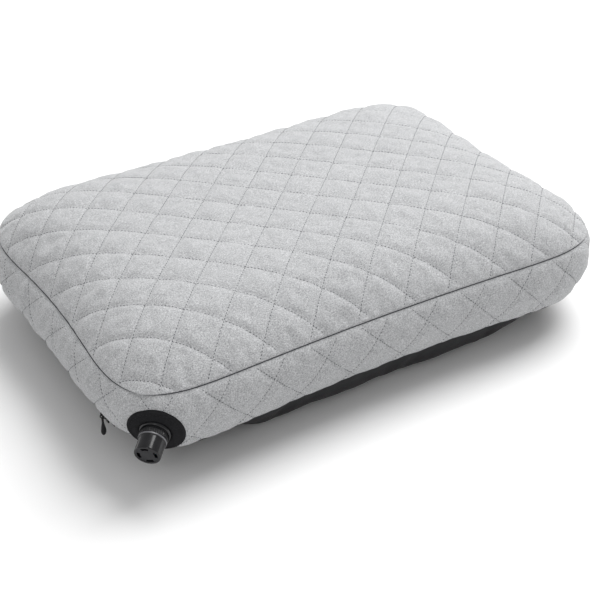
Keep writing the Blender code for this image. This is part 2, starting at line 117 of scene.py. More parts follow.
def plan(u, v, out=0.0, rise=1.0):
    """Where a point of the square sheet lies.

    out is how far past the seam the point is, and rise goes from 0 to 1 up the side.
    """
    soft = corner_softness(u, v)
    cut_x, cut_y = (soft * cut + OUT_TO_CUT * out for cut in CORNER_CUT)
    length = HALF_LENGTH_BELOW + (HALF_LENGTH - HALF_LENGTH_BELOW) * rise + out
    width = HALF_WIDTH + out
    ends = (PULL_IN_ENDS_BELOW + (PULL_IN_ENDS - PULL_IN_ENDS_BELOW) * rise) * (1 - v * v)
    sides = PULL_IN_SIDES * (1 - u * u)
    return (u * (length - ends - cut_x * abs(v) ** ((width - cut_y) / cut_x)),
            v * (width - sides - cut_y * abs(u) ** ((length - cut_x) / cut_y)))


def shoulder(u, v, powers):
    return (1 - abs(u) ** powers[0]) * (1 - abs(v) ** powers[1])


def corner_sag(u, v):
    nearer, farther = sorted((abs(u), abs(v)))
    return CORNER_SAG * (nearer / farther) ** SAG_POWER if farther else 0.0


def top_point(u, v):
    x, y = plan(u, v)
    return Vector((x, y, TOP_SEAM + (CROWN - TOP_SEAM) * shoulder(u, v, SHOULDER_TOP)))


def side_point(u, v, rise):
    swell = SWELL + (SWELL_ZIPPER_END - SWELL) * max(0.0, -u) ** 8 * (1 - v ** 6)
    x, y = plan(u, v, swell * math.sin(math.pi * rise), rise)
    return Vector((x, y, LOWER_SEAM + (TOP_SEAM - LOWER_SEAM) * rise - corner_sag(u, v) * (1 - rise)))


def smooth_step(x, low, high):
    t = min(1.0, max(0.0, (x - low) / (high - low)))
    return t * t * (3 - 2 * t)


def under_point(u, v):
    x, y = plan(u, v, 0.0, 0.0)
    seam = LOWER_SEAM - corner_sag(u, v)
    pressed = PRESSED * shoulder(u, v, SHOULDER_UNDER) * (1 - smooth_step(abs(u * v), *CORNER_LIFT))
    return Vector((x, y, max(FLOOR_GAP, seam * (1 - pressed))))


print("crown", round(CROWN / MM, 1), "mm, upper seam", round(TOP_SEAM / MM, 1), "mm above the floor")

# %% [markdown]
# ## The three cloths
# The quilted cloths are grids of cells about 3 mm wide, fine enough to wrinkle and coarse enough to
# simulate in seconds. The plain underside has cells of twice that. The grid lines are crowded
# towards the edges, where the shoulders bend most. The side is a closed ring with the top's cells
# along its seam, lofted from the lower seam to the upper.

# %% Grids of cloth
GRID, UNDER_GRID = (132, 88), (66, 44)
SIDE_ROWS = 14


def crowd(t):
    return t * (1.3 - 0.3 * t * t)


def sheet_grid(name, cells, place, faces_down=False):
    bm = bmesh.new()
    bmesh.ops.create_grid(bm, x_segments=cells[0], y_segments=cells[1], size=1.0)
    edge = [vert.is_boundary for vert in bm.verts]
    for vert in bm.verts:
        vert.co = place(crowd(vert.co.x), crowd(vert.co.y))
    if faces_down:
        bmesh.ops.reverse_faces(bm, faces=bm.faces)
    mesh = bpy.data.meshes.new(name)
    bm.to_mesh(mesh)
    bm.free()
    cloth = bpy.data.objects.new(name, mesh)
    scene.collection.objects.link(cloth)
    return cloth, edge


def rim(cells):
    """The square's edge, once round, starting at the valve's corner."""
    us = [crowd(-1 + 2 * i / cells[0]) for i in range(cells[0])]
    vs = [crowd(-1 + 2 * i / cells[1]) for i in range(cells[1])]
    return ([(u, -1.0) for u in us] + [(1.0, v) for v in vs]
            + [(-u, 1.0) for u in us] + [(-1.0, -v) for v in vs])


def side_ring(name, cells, rows):
    bm = bmesh.new()
    around = rim(cells)
    rings = [[bm.verts.new(side_point(u, v, row / rows)) for u, v in around] for row in range(rows + 1)]
    for low, high in zip(rings, rings[1:]):
        for i in range(len(around)):
            j = (i + 1) % len(around)
            bm.faces.new((low[i], low[j], high[j], high[i]))
    edge = [vert.is_boundary for vert in bm.verts]
    mesh = bpy.data.meshes.new(name)
    bm.to_mesh(mesh)
    bm.free()
    cloth = bpy.data.objects.new(name, mesh)
    scene.collection.objects.link(cloth)
    return cloth, edge


top, top_edge = sheet_grid("quilted_top", GRID, top_point)
side, side_edge = side_ring("quilted_side", GRID, SIDE_ROWS)
under, under_edge = sheet_grid("nylon_underside", UNDER_GRID, under_point, faces_down=True)
for cloth in (top, side, under):
    print(cloth.name, "has", len(cloth.data.polygons), "cells")

# %% [markdown]
# ## Where the valve sits
# The valve's stem comes out of the side at the corner, and its stiff patch presses the cloth flat
# around it. The joint of the working model gives the valve's place and direction, so the cloth is
# flattened towards the plane of the patch before it is filled.

# %% Flatten the cloth under the valve
turn = next(j for j in frame["record"]["behaviour"]["joints"] if j["name"] == "valve_turn")
VALVE = Vector(turn["pos_m"])
VALVE_AXIS = Vector(turn["axis"]).normalized()
PATCH_RADIUS = 18.8 * MM
PRESS_SHARE, PRESS_BELOW = 0.55, 0.3 * MM            # how far the patch flattens the cloth
VALVE_REACH = 30 * MM                                # along the axis, beyond which it has no effect


def from_valve(point):
    """(distance from the valve's axis, height above the patch's plane)"""
    height = (point - VALVE).dot(VALVE_AXIS)
    return (point - VALVE - VALVE_AXIS * height).length, height


def under_patch(point):
    """1 under the patch, fading out round it and towards the upper seam."""
    radius, height = from_valve(point)
    if abs(height) > VALVE_REACH:
        return 0.0
    below_seam = smooth_step(TOP_SEAM - point.z, 0, 8 * MM)
    return (1 - smooth_step(radius, PATCH_RADIUS, 1.5 * PATCH_RADIUS)) * below_seam


for vert in side.data.vertices:
    reach = under_patch(vert.co)
    if reach > 0.0:
        vert.co -= VALVE_AXIS * (PRESS_SHARE * reach * (from_valve(vert.co)[1] + PRESS_BELOW))
print("valve at", [round(c, 4) for c in VALVE], "pointing", [round(c, 3) for c in VALVE_AXIS])

# %% [markdown]
# ## Quilting lines
# The top is quilted in squares that stand on their corners, in two sets of straight parallel lines.
# On the side the same squares run round the pillow, so a ruler laid round it gives each
# point's distance along the side. One helper gives the distance to the nearest line of a set.

# %% Lines of the quilting
PITCH = 26.2 * MM                    # between neighbouring lines of a set
TOP_PHASE = (32.9 * MM, -237.3 * MM)  # where each set's first line lies
SIDE_SQUARE = 40.5 * MM              # corner to corner of a square on the side, along the seam
SIDE_CROSSING = (-99 * MM, 12 * MM)  # x and depth below the seam of one crossing on the valve's long side
ROOT2 = math.sqrt(2.0)

ruler = [side_point(u, v, 0.5).xy for u, v in rim((400, 260))]
ruler_mark = [0.0]
for a, b in zip(ruler, ruler[1:] + ruler[:1]):
    ruler_mark.append(ruler_mark[-1] + (b - a).length)
ROUND = ruler_mark[-1]
SIDE_PITCH = ROUND / round(ROUND / SIDE_SQUARE) / ROOT2
ruler_tree = KDTree(len(ruler))
for i, spot in enumerate(ruler):
    ruler_tree.insert((spot.x, spot.y, 0.0), i)
ruler_tree.balance()


def along_side(point):
    return ruler_mark[ruler_tree.find((point.x, point.y, 0.0))[1]]


crossing_mark = along_side(Vector((SIDE_CROSSING[0], -HALF_WIDTH, 0)))
SIDE_PHASE = ((crossing_mark + SIDE_CROSSING[1]) / ROOT2, (crossing_mark - SIDE_CROSSING[1]) / ROOT2)


def to_line(value, pitch):
    return abs(value - pitch * round(value / pitch))


def top_line_distance(point):
    return min(to_line((point.y - point.x) / ROOT2 - TOP_PHASE[0], PITCH),
               to_line((point.y + point.x) / ROOT2 - TOP_PHASE[1], PITCH))


def side_line_distance(point):
    s, t = along_side(point), TOP_SEAM - point.z
    return min(to_line((s + t) / ROOT2 - SIDE_PHASE[0], SIDE_PITCH),
               to_line((s - t) / ROOT2 - SIDE_PHASE[1], SIDE_PITCH))


print("way round the side:", round(ROUND, 3), "m, side pitch", round(SIDE_PITCH / MM, 2), "mm")

# %% [markdown]
# ## Soft squares
# Before the cloth is filled, each square between the lines is raised into a low cushion. It rises
# steeply at the stitches and is round in the middle, like the batting under the real cloth. The
# simulation then only has to add what a formula can't: the slack and the small wrinkles.

# %% Raise the squares
PUFF = 1.25 * MM


def puff(a, b, pitch):
    """Height of a square's cushion, 0 on its four lines and 1 in its middle."""
    return (math.sin(math.pi * a / pitch) * math.sin(math.pi * b / pitch)) ** 0.55


def top_cushion(point):
    a = to_line((point.y - point.x) / ROOT2 - TOP_PHASE[0], PITCH)
    b = to_line((point.y + point.x) / ROOT2 - TOP_PHASE[1], PITCH)
    return PUFF * puff(a, b, PITCH) * smooth_step(point.z - TOP_SEAM, 0, 5 * MM)


def side_cushion(point):
    s, t = along_side(point), TOP_SEAM - point.z
    a = to_line((s + t) / ROOT2 - SIDE_PHASE[0], SIDE_PITCH)
    b = to_line((s - t) / ROOT2 - SIDE_PHASE[1], SIDE_PITCH)
    edge = smooth_step(t, 0, 4 * MM) * smooth_step(point.z - LOWER_SEAM + CORNER_SAG, 0, 8 * MM)
    return PUFF * puff(a, b, SIDE_PITCH) * edge * (1 - under_patch(point))


# %% [markdown]
# ## Gathers
# Where the panel is eased onto the side, the seam is gathered: short folds run away from it and die
# out within two finger widths. They are strongest at the zipper's end, where the seam is tightest.

# %% Gather the cloth along the seam
GATHER = 0.95 * MM


def gather(point, away):
    """Height of the folds at a point that lies this far away from the seam."""
    s = along_side(point)
    waves = 0.6 * math.sin(2 * math.pi * s / (16.8 * MM))
    waves += 0.4 * math.sin(2 * math.pi * s / (11.3 * MM) + 1.3)
    waves *= 0.65 + 0.35 * math.sin(2 * math.pi * s / (71 * MM))
    tightest = 0.22 + 0.78 * smooth_step(-point.x, 110 * MM, 185 * MM)
    return GATHER * tightest * waves * math.exp(-max(0.0, away) / (13 * MM))


def top_relief(point):
    away = ruler_tree.find((point.x, point.y, 0.0))[2] - SWELL
    return top_cushion(point) + gather(point, away) * smooth_step(away, 0, 4 * MM)


def side_relief(point):
    depth = TOP_SEAM - point.z
    folds = gather(point, depth) * smooth_step(depth, 0, 4 * MM)
    return side_cushion(point) + folds * (1 - under_patch(point))


def raise_squares(cloth, cushion):
    normals = [v.normal.copy() for v in cloth.data.vertices]
    for vert, normal in zip(cloth.data.vertices, normals):
        vert.co += normal * cushion(vert.co)
    cloth.data.update()


raise_squares(top, top_relief)
raise_squares(side, side_relief)
print("squares raised by", PUFF / MM, "mm")

# %% [markdown]
# ## Filling the cloth
# Blender's Cloth fills the quilting. The stitched lines and seams are held, the cloth between them
# is a little too large, as padded fabric is, and an even pressure lifts it into soft squares that
# wrinkle where they meet. Moves are capped, so the pillow keeps its size.

# %% Fill a cloth
def fill(cloth, held, pressure, spare, cap, frames=20):
    """held is how firmly each point stays, spare the share by which the cloth is too large."""
    group = cloth.vertex_groups.new(name="held")
    for index, weight in enumerate(held):
        group.add([index], weight, "REPLACE")
    start = np.array([v.co for v in cloth.data.vertices])
    sim = cloth.modifiers.new("filling", "CLOTH")
    settings = sim.settings
    settings.quality = 5
    settings.mass = 0.15
    settings.tension_stiffness = settings.compression_stiffness = 12.0
    settings.shear_stiffness = 4.0
    settings.bending_stiffness = 0.08
    settings.tension_damping = settings.compression_damping = settings.shear_damping = 6.0
    settings.air_damping = 2.0
    settings.use_pressure = True
    settings.uniform_pressure_force = pressure
    settings.shrink_min = -spare
    settings.vertex_group_mass = "held"
    settings.pin_stiffness = 1.0
    settings.effector_weights.gravity = 0.0
    sim.collision_settings.use_collision = False
    sim.point_cache.frame_start, sim.point_cache.frame_end = 1, frames
    for step in range(1, frames + 1):
        scene.frame_set(step)
    filled = cloth.evaluated_get(bpy.context.evaluated_depsgraph_get())
    moved = np.array([v.co for v in filled.data.vertices]) - start
    far = np.linalg.norm(moved, axis=1, keepdims=True)
    moved *= np.minimum(1.0, cap / np.maximum(far, 1e-9))
    cloth.modifiers.remove(sim)
    scene.frame_set(1)
    for vert, spot in zip(cloth.data.vertices, start + moved):
        vert.co = spot
    cloth.data.update()
    print(cloth.name, "filled: moved", round(float(far.mean()) / MM, 2), "mm on average,",
          round(float(far.max()) / MM, 2), "mm at most")


def firmness(distance, width=2.0 * MM):
    return math.exp(-((distance / width) ** 2))


top_held = [1.0 if edge else firmness(top_line_distance(v.co))
            for v, edge in zip(top.data.vertices, top_edge)]
side_held = [1.0 if edge else max(firmness(side_line_distance(v.co)), under_patch(v.co))
             for v, edge in zip(side.data.vertices, side_edge)]
under_held = [1.0 if edge or v.co.z < 1 * MM else 0.05
              for v, edge in zip(under.data.vertices, under_edge)]
fill(top, top_held, pressure=1.6, spare=0.022, cap=3.5 * MM)
fill(side, side_held, pressure=1.6, spare=0.022, cap=3.5 * MM)
fill(under, under_held, pressure=1.5, spare=0.03, cap=4 * MM)

# %% [markdown]
# ## Finer cloth and its seams
# One subdivision halves the cells and rounds the wrinkles. The seam is then drawn in: on a real
# boxed cushion both cloths turn inwards and are sewn a little below the surface, which leaves a
# narrow dark groove. The stitched lines get the same treatment, only shallower.

# %% Subdivide the cloths
def bake(piece):
    """Turns the modifiers into plain mesh."""
    made = bpy.data.meshes.new_from_object(piece.evaluated_get(bpy.context.evaluated_depsgraph_get()))
    piece.modifiers.clear()
    piece.data = made
    made.shade_smooth()


def refine(cloth):
    finer = cloth.modifiers.new("finer", "SUBSURF")
    finer.levels = finer.render_levels = 1
    bake(cloth)


for cloth in (top, side, under):
    refine(cloth)
print("cells now:", [len(cloth.data.polygons) for cloth in (top, side, under)])

# %% Draw the seams in and sink the stitched lines
SEAM_DEPTH = 1.5 * MM
SEAM_RINGS = (1.0, 0.42, 0.12)       # how far each ring of points from the seam is drawn in
LINE_DEPTH, LINE_WIDTH = 0.55 * MM, 1.1 * MM
STEM_CLEARANCE = 9.0 * MM            # radius of the hole in the cloth


def outward(point):
    """Level direction out of the pillow at the nearest mark of the ruler."""
    i = ruler_tree.find((point.x, point.y, 0.0))[1]
    along = ruler[(i + 2) % len(ruler)] - ruler[i - 2]
    return Vector((along.y, -along.x, 0.0)).normalized()


def rings_from_edge(mesh):
    """For each point near the sheet's edge, how many rings of points away the edge is."""
    bm = bmesh.new()
    bm.from_mesh(mesh)
    found = {vert.index: 0 for vert in bm.verts if vert.is_boundary}
    bm.verts.ensure_lookup_table()
    for step in range(1, len(SEAM_RINGS)):
        for index in [i for i, ring in found.items() if ring == step - 1]:
            for edge in bm.verts[index].link_edges:
                found.setdefault(edge.other_vert(bm.verts[index]).index, step)
    bm.free()
    return found


def finish_cloth(cloth, line_distance):
    verts = cloth.data.vertices
    normals = [v.normal.copy() for v in verts]
    near_edge = rings_from_edge(cloth.data)
    for vert, normal in zip(verts, normals):
        ring = near_edge.get(vert.index)
        if ring is not None:
            vert.co -= outward(vert.co) * SEAM_DEPTH * SEAM_RINGS[ring]
        elif line_distance:
            sunk = LINE_DEPTH * math.exp(-((line_distance(vert.co) / LINE_WIDTH) ** 2))
            vert.co -= normal * sunk * (1 - under_patch(vert.co))
    cloth.data.update()


def cut_stem_hole(cloth):
    bm = bmesh.new()
    bm.from_mesh(cloth.data)
    places = [(vert, *from_valve(vert.co)) for vert in bm.verts]
    doomed = [vert for vert, radius, height in places if radius < STEM_CLEARANCE and abs(height) < 12 * MM]
    bmesh.ops.delete(bm, geom=doomed, context="VERTS")
    bm.to_mesh(cloth.data)
    bm.free()


finish_cloth(top, top_line_distance)
finish_cloth(side, side_line_distance)
finish_cloth(under, None)
print("seams drawn in by", SEAM_DEPTH / MM, "mm")

# %% [markdown]
# ## Threads
# Every stitch is a short bead of thread that dips into the cloth at both ends. The lines are walked
# at the length of a stitch, each bead is laid on the finished cloth, and all the beads of one kind
# of line are kept in one mesh, so thousands of them stay light.

# %% Lay stitches
STITCH, STITCH_GAP, THREAD = 1.5 * MM, 0.9 * MM, 0.21 * MM
BEAD_FACES = 14                      # of one stitch
LINES_EACH_WAY = 14                  # of a set, counted from its first line


def surface_of(*cloths):
    graph = bpy.context.evaluated_depsgraph_get()
    return [BVHTree.FromObject(cloth, graph) for cloth in cloths]


def bead(verts, faces, start, end, normal):
    """One stitch: a thread of four sides, thickest in the middle."""
    along = (end - start).normalized()
    across = normal.cross(along).normalized()
    first = len(verts)
    stations = ((-0.05, 0.2, -1.2), (0.25, 1.0, 0.3), (0.75, 1.0, 0.3), (1.05, 0.2, -1.2))
    for share, thick, lift in stations:
        middle = start.lerp(end, share) + normal * THREAD * lift
        for side_of in (across, normal, -across, -normal):
            verts.append(middle + side_of * THREAD * thick)
    for ring in range(len(stations) - 1):
        for k in range(4):
            a, b = first + ring * 4 + k, first + ring * 4 + (k + 1) % 4
            faces.append((a, b, b + 4, a + 4))
    faces.append(tuple(first + k for k in (3, 2, 1, 0)))
    faces.append(tuple(first + 12 + k for k in range(4)))


def stitch_along(path, surface, verts, faces, skip=None, gap=STITCH_GAP):
    """Walks a path of points and lays a bead on the cloth at each stitch."""
    marks = [0.0]
    for a, b in zip(path, path[1:]):
        marks.append(marks[-1] + (b - a).length)

    def at(distance):
        i = min(max(1, int(np.searchsorted(marks, distance))), len(path) - 1)
        share = (distance - marks[i - 1]) / max(1e-9, marks[i] - marks[i - 1])
        return path[i - 1].lerp(path[i], share)

    distance = gap / 2
    while distance + STITCH < marks[-1]:
        ends = [surface.find_nearest(at(distance)), surface.find_nearest(at(distance + STITCH))]
        distance += STITCH + gap
        if any(end[0] is None for end in ends) or (skip and skip(ends[0][0])):
            continue
        if (ends[1][0] - ends[0][0]).length > 0.3 * STITCH:
            bead(verts, faces, ends[0][0], ends[1][0], (ends[0][1] + ends[1][1]).normalized())


def mesh_piece(name, verts, faces, smooth=True):
    mesh = bpy.data.meshes.new(name)
    mesh.from_pydata([tuple(v) for v in verts], [], faces)
    mesh.validate()
    if smooth:
        mesh.shade_smooth()
    piece = bpy.data.objects.new(name, mesh)
    scene.collection.objects.link(piece)
    return piece


def tidy_normals(piece):
    bm = bmesh.new()
    bm.from_mesh(piece.data)
    bmesh.ops.recalc_face_normals(bm, faces=bm.faces)
    bm.to_mesh(piece.data)
    bm.free()


top_surface, side_surface = surface_of(top, side)
top_outline = [top_point(u, v).xy for u, v in rim(GRID)]


def inside(spot, outline):
    """Whether a level point lies inside a closed outline."""
    crossings = False
    for a, b in zip(outline, outline[1:] + outline[:1]):
        if (a.y > spot.y) != (b.y > spot.y):
            if spot.x < (b.x - a.x) * (spot.y - a.y) / (b.y - a.y) + a.x:
                crossings = not crossings
    return crossings


verts, faces = [], []
for slope, phase in ((1.0, TOP_PHASE[0]), (-1.0, TOP_PHASE[1])):
    for k in range(-LINES_EACH_WAY, LINES_EACH_WAY + 1):
        offset = (phase + k * PITCH) * ROOT2                 # y - x, or y + x, along this line
        level = [Vector((x, (offset + x) if slope > 0 else (offset - x)))
                 for x in np.linspace(-HALF_LENGTH, HALF_LENGTH, 240)]
        level = [spot for spot in level if abs(spot.y) < HALF_WIDTH and inside(spot, top_outline)]
        path = []
        for spot in level:
            hit = top_surface.ray_cast(Vector((spot.x, spot.y, CROWN + 20 * MM)), Vector((0, 0, -1)))
            if hit[0] is not None:
                path.append(hit[0])
        if len(path) > 2:
            stitch_along(path, top_surface, verts, faces)
top_stitches = mesh_piece("top_quilting_thread", verts, faces)
print("stitches on the top:", len(faces) // BEAD_FACES)

# %% Quilt the side
def at_mark(mark, depth):
    """The point of the side at a distance along the ruler and a depth below the upper seam."""
    mark %= ROUND
    i = min(int(np.searchsorted(ruler_mark, mark, side="right")), len(ruler))
    a, b = ruler[i - 1], ruler[i % len(ruler)]
    spot = a.lerp(b, (mark - ruler_mark[i - 1]) / (ruler_mark[i] - ruler_mark[i - 1]))
    return Vector((spot.x, spot.y, TOP_SEAM - depth))


verts, faces = [], []
squares = round(ROUND / (SIDE_PITCH * ROOT2))
for leaning, phase in ((-1.0, SIDE_PHASE[0]), (1.0, SIDE_PHASE[1])):
    for k in range(squares):
        base = (phase + k * SIDE_PITCH) * ROOT2              # s + depth, or s - depth, along this line
        path = []
        for depth in np.linspace(1.5 * MM, 60 * MM, 30):
            level = at_mark(base + leaning * depth, depth)
            found = side_surface.ray_cast(level + outward(level) * 30 * MM, -outward(level))
            if found[0] is None:
                break
            path.append(found[0])
        if len(path) > 2:
            stitch_along(path, side_surface, verts, faces,
                         skip=lambda point: from_valve(point)[0] < PATCH_RADIUS * 1.02 and point.y < 0)
side_stitches = mesh_piece("side_quilting_thread", verts, faces)
print("stitches on the side:", len(faces) // BEAD_FACES)

# %% [markdown]
# ## Seam cords
# Down in the groove, where the two cloths meet, the sewn edge shows as one thin dark line. A fine
# cord laid along the seam gives that line and closes the joint between the cloths.

# %% Sew the seams
UPPER_CORD, LOWER_CORD = 0.28 * MM, 0.36 * MM        # radii
CORD_SHOWS = 0.35 * MM               # how far the cords stand proud of the drawn-in seam


def tube(name, path, radius, sides=6):
    """A closed loop of cord."""
    verts, faces = [], []
    count = len(path)
    for i, point in enumerate(path):
        along = (path[(i + 1) % count] - path[i - 1]).normalized()
        across = along.cross(Vector((0, 0, 1))).normalized()
        upward = across.cross(along)
        for k in range(sides):
            angle = 2 * math.pi * k / sides
            verts.append(point + (across * math.cos(angle) + upward * math.sin(angle)) * radius)
    for i in range(count):
        j = (i + 1) % count
        for k in range(sides):
            m = (k + 1) % sides
            faces.append((i * sides + k, i * sides + m, j * sides + m, j * sides + k))
    return mesh_piece(name, verts, faces)


def seam_path(rise):
    points = [side_point(u, v, rise) for u, v in rim([2 * cells for cells in GRID])]
    return [point - outward(point) * (SEAM_DEPTH - CORD_SHOWS) for point in points]


upper_cord = tube("upper_seam_cord", seam_path(1.0), UPPER_CORD)
lower_cord = tube("lower_seam_cord", seam_path(0.0), LOWER_CORD)
print("seam cords:", len(upper_cord.data.vertices), "and", len(lower_cord.data.vertices), "points")

# %% [markdown]
# ## The valve
# The valve's stem, collar and cap are turned, so each is a profile spun round the valve's axis. A helper
# spins a list of radius and height pairs, and a guide at the valve's place turns them to its
# direction. Heights are measured from the cloth outwards.

# %% Spin a profile
seat = bpy.data.objects.new("valve_seat", None)
scene.collection.objects.link(seat)
seat.location = VALVE
seat.rotation_mode = "QUATERNION"
seat.rotation_quaternion = VALVE_AXIS.to_track_quat("Z", "Y")
bpy.context.view_layer.update()
SEAT = seat.matrix_world.copy()
bpy.data.objects.remove(seat)


def spun(name, profile, steps=96, ripple=None):
    """Spins (radius, height) pairs that run round the piece's section once, outer side first, going up."""
    verts, faces = [], []
    count = len(profile)
    for i in range(steps):
        angle = 2 * math.pi * i / steps
        for k, (radius, height) in enumerate(profile):
            r = radius - (ripple(i, k) if ripple else 0.0)
            verts.append(SEAT @ Vector((r * math.cos(angle), r * math.sin(angle), height)))
    for i in range(steps):
        j = (i + 1) % steps
        for k in range(count):
            m = (k + 1) % count
            faces.append((i * count + k, j * count + k, j * count + m, i * count + m))
    piece = mesh_piece(name, verts, faces)
    bm = bmesh.new()
    bm.from_mesh(piece.data)
    bmesh.ops.remove_doubles(bm, verts=bm.verts, dist=0.002 * MM)
    bmesh.ops.dissolve_degenerate(bm, edges=bm.edges, dist=0.001 * MM)
    bmesh.ops.recalc_face_normals(bm, faces=bm.faces)
    bm.to_mesh(piece.data)
    bm.free()
    piece.data.set_sharp_from_angle(angle=math.radians(38))
    return piece


# %% [markdown]
# ## The patch
# A round patch of dense black cloth reinforces the corner. It is a little thicker than the cover,
# has rolled edges, and a row of stitches lies in a shallow groove inside the outer one.
# It takes the shape of the cloth under it, found by looking back along the valve's axis.

# %% Cut and sew the patch
STEM_HOLE = 10.4 * MM
PATCH_THICK, PATCH_LIFT = 1.1 * MM, 0.5 * MM
PATCH_SEAM = 16.4 * MM               # radius of its row of stitches
PROBES = (11 * MM, 14 * MM, 17 * MM, PATCH_RADIUS)   # radii at which the cloth below is felt
SMOOTHING = 13                       # places round the axis that are averaged


def cloth_height(radius, angle):
    """Height of the cover above the patch's plane, at one place round the axis."""
    start = SEAT @ Vector((radius * math.cos(angle), radius * math.sin(angle), VALVE_REACH))
    hit = side_surface.ray_cast(start, -VALVE_AXIS)
    return VALVE_REACH - hit[3] if hit[0] is not None else None


AROUND = 120
patch_rings = [
    (STEM_HOLE, -1.0), (STEM_HOLE, 0.55), (STEM_HOLE + 0.6 * MM, 0.9), (STEM_HOLE + 1.6 * MM, 1.0),
    (12.4 * MM, 0.95), (14.0 * MM, 0.95), (15.6 * MM, 0.92), (PATCH_SEAM, 0.78), (17.0 * MM, 0.95),
    (17.8 * MM, 1.0), (18.4 * MM, 0.85), (PATCH_RADIUS, 0.35), (PATCH_RADIUS, -1.0),
]
bases = []
for i in range(AROUND):
    angle = 2 * math.pi * i / AROUND
    heights = [cloth_height(radius, angle) for radius in PROBES]
    known = [h for h in heights if h is not None]
    bases.append([h if h is not None else (known[-1] if known else 0.0) for h in heights])
bases = np.array(bases)
overlap = SMOOTHING // 2
wrapped = np.concatenate([bases[-overlap:], bases, bases[:overlap]])
bases = np.stack([np.convolve(column, np.ones(SMOOTHING) / SMOOTHING, mode="valid")
                  for column in wrapped.T], axis=1)


def patch_base(i, radius):
    return float(np.interp(radius, PROBES, bases[i]))


verts, faces = [], []
for i in range(AROUND):
    angle = 2 * math.pi * i / AROUND
    for radius, share in patch_rings:
        height = patch_base(i, radius) + PATCH_LIFT + share * PATCH_THICK * (1.0 if share > 0 else 2.0)
        verts.append(SEAT @ Vector((radius * math.cos(angle), radius * math.sin(angle), height)))
rings = len(patch_rings)
for i in range(AROUND):
    j = (i + 1) % AROUND
    for k in range(rings):
        m = (k + 1) % rings
        faces.append((i * rings + k, i * rings + m, j * rings + m, j * rings + k))
patch = mesh_piece("valve_patch_cloth", verts, faces)
tidy_normals(patch)
patch_surface = surface_of(patch)[0]
circle = []
for angle in np.linspace(0, 2 * math.pi, 181):
    height = patch_base(int(angle / 2 / math.pi * AROUND) % AROUND, PATCH_SEAM) + 1.5 * MM
    circle.append(SEAT @ Vector((PATCH_SEAM * math.cos(angle), PATCH_SEAM * math.sin(angle), height)))
verts, faces = [], []
stitch_along(circle, patch_surface, verts, faces, gap=0.7 * MM)
patch_stitches = mesh_piece("valve_patch_thread", verts, faces)
cut_stem_hole(side)
print("patch stitches:", len(faces) // BEAD_FACES)
print("cloth under the patch:", round(bases.min() / MM, 2), "to", round(bases.max() / MM, 2), "mm")

# %% [markdown]
# ## Stem, collar and cap
# The stem is moulded in one with a flange that is welded to the bladder. A ribbed collar clamps it
# to the patch, and the cap screws down over it. The ribs are a ripple in the collar's radius, and
# every rim has a small round so that it catches a line of light.

# %% Turn the stem and the collar
CAP_FOOT, CAP_END = 6.6 * MM, 18.8 * MM
RIBS, RIB_STEPS, RIB_DEPTH = 40, 6, 0.6 * MM


def rounded(corner, before, after, radius, steps=4):
    """Points that round the corner of a profile."""
    c, a, b = (Vector(p) for p in (corner, before, after))
    start, end = c + (a - c).normalized() * radius, c + (b - c).normalized() * radius
    shares = [i / steps for i in range(steps + 1)]
    return [tuple(start.lerp(c, t).lerp(c.lerp(end, t), t)) for t in shares]


def profile_of(corners, radii):
    """A closed profile whose corners are rounded by the given radii, 0 for a sharp one."""
    made = []
    for i, (corner, radius) in enumerate(zip(corners, radii)):
        before, after = corners[i - 1], corners[(i + 1) % len(corners)]
        made += rounded(corner, before, after, radius) if radius else [corner]
    return made


stem = spun("valve_stem_tube", profile_of(
    [(7.8 * MM, -12.5 * MM), (7.8 * MM, 6.1 * MM), (7.0 * MM, 6.5 * MM), (7.0 * MM, 11.8 * MM),
     (4.1 * MM, 13.0 * MM), (4.1 * MM, 15.2 * MM), (3.2 * MM, 15.2 * MM), (3.2 * MM, 12.0 * MM),
     (5.5 * MM, 10.4 * MM), (5.5 * MM, -12.5 * MM)], [0.3 * MM] * 10))
collar_corners = [
    (8.1 * MM, -1.5 * MM), (10.3 * MM, -1.5 * MM), (10.3 * MM, 1.3 * MM), (10.0 * MM, 1.7 * MM),
    (9.3 * MM, 1.9 * MM), (9.3 * MM, 2.2 * MM), (9.6 * MM, 2.6 * MM), (9.6 * MM, 5.5 * MM),
    (9.1 * MM, 6.2 * MM), (8.1 * MM, 6.3 * MM),
]
RIBBED_CORNERS = (6, 7)


def ribs(step, corner):
    """How far the collar's radius is cut back at one step round it."""
    if corner not in RIBBED_CORNERS:
        return 0.0
    return RIB_DEPTH * (0.5 - 0.5 * math.cos(2 * math.pi * (step % RIB_STEPS) / RIB_STEPS))


collar = spun("valve_collar_ring", collar_corners, steps=RIBS * RIB_STEPS, ripple=ribs)
print("collar with", RIBS, "ribs")

# %% [markdown]
# The cap is a cup with a thin lip at its open end. Four curved slots are cut in its end face with
# knives of the same shape, which are thrown away afterwards.

# %% Turn the cap and cut its slots
CAP_RADIUS, LIP_RADIUS = 8.55 * MM, 9.3 * MM
SLOTS, SLOT_TURN = 4, math.radians(79)
cap = spun("valve_cap_turned", profile_of(
    [(7.5 * MM, CAP_FOOT), (LIP_RADIUS, CAP_FOOT), (LIP_RADIUS, CAP_FOOT + 1.1 * MM),
     (CAP_RADIUS, CAP_FOOT + 1.5 * MM), (CAP_RADIUS, CAP_END), (7.0 * MM, CAP_END),
     (6.9 * MM, CAP_END - 0.35 * MM), (0.0, CAP_END - 0.35 * MM), (0.0, CAP_END - 1.8 * MM),
     (7.5 * MM, CAP_END - 1.8 * MM)],
    [0.2 * MM, 0.3 * MM, 0.2 * MM, 0.3 * MM, 0.7 * MM, 0.1 * MM, 0.1 * MM, 0, 0, 0.3 * MM]), steps=128)


